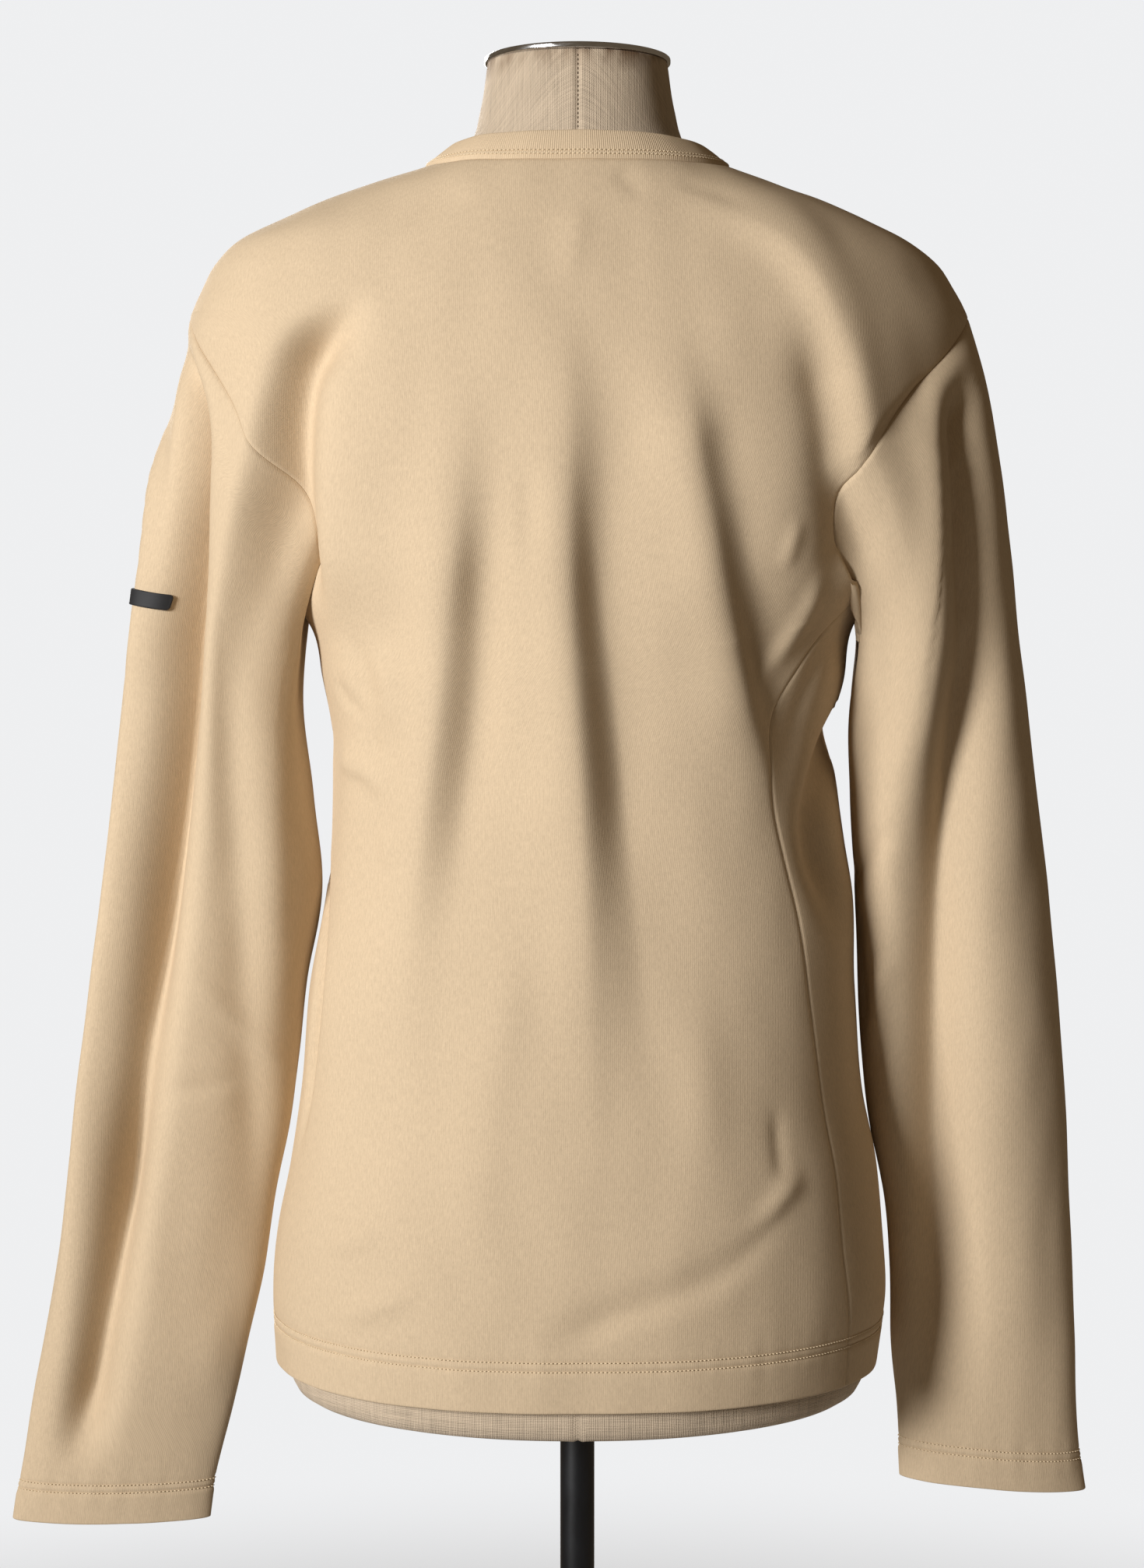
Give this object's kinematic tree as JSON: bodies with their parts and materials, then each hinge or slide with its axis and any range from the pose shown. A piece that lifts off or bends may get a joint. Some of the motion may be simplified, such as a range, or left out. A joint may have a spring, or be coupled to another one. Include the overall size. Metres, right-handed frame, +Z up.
{
  "type": "long-sleeve t-shirt on a dress form",
  "caption": "Long-sleeve crew-neck t-shirt worn by a limbless linen dress form on a pole with a round base.",
  "frame": {"origin": "on the floor under the middle of the pole, at the base's underside", "axes": "+Z up along the pole, -Y is the garment's front, +X is the wearer's left"},
  "size_m": [0.6032, 0.38, 1.4344],
  "materials": {
    "jersey": "beige brushed cotton jersey",
    "rib": "beige cotton rib",
    "tab": "black woven tab",
    "linen": "natural plain-weave linen",
    "cap": "polished chrome plate",
    "stand": "black satin paint"
  },
  "bodies": {
    "root": {"back_panel": "jersey", "front_panel": "jersey", "sleeve_left": "jersey", "sleeve_right": "jersey", "neckband": "rib", "sleeve_label": "tab", "dress_form": "linen", "neck_cap": "cap", "pole": "stand", "base": "stand"}
  },
  "joints": []
}
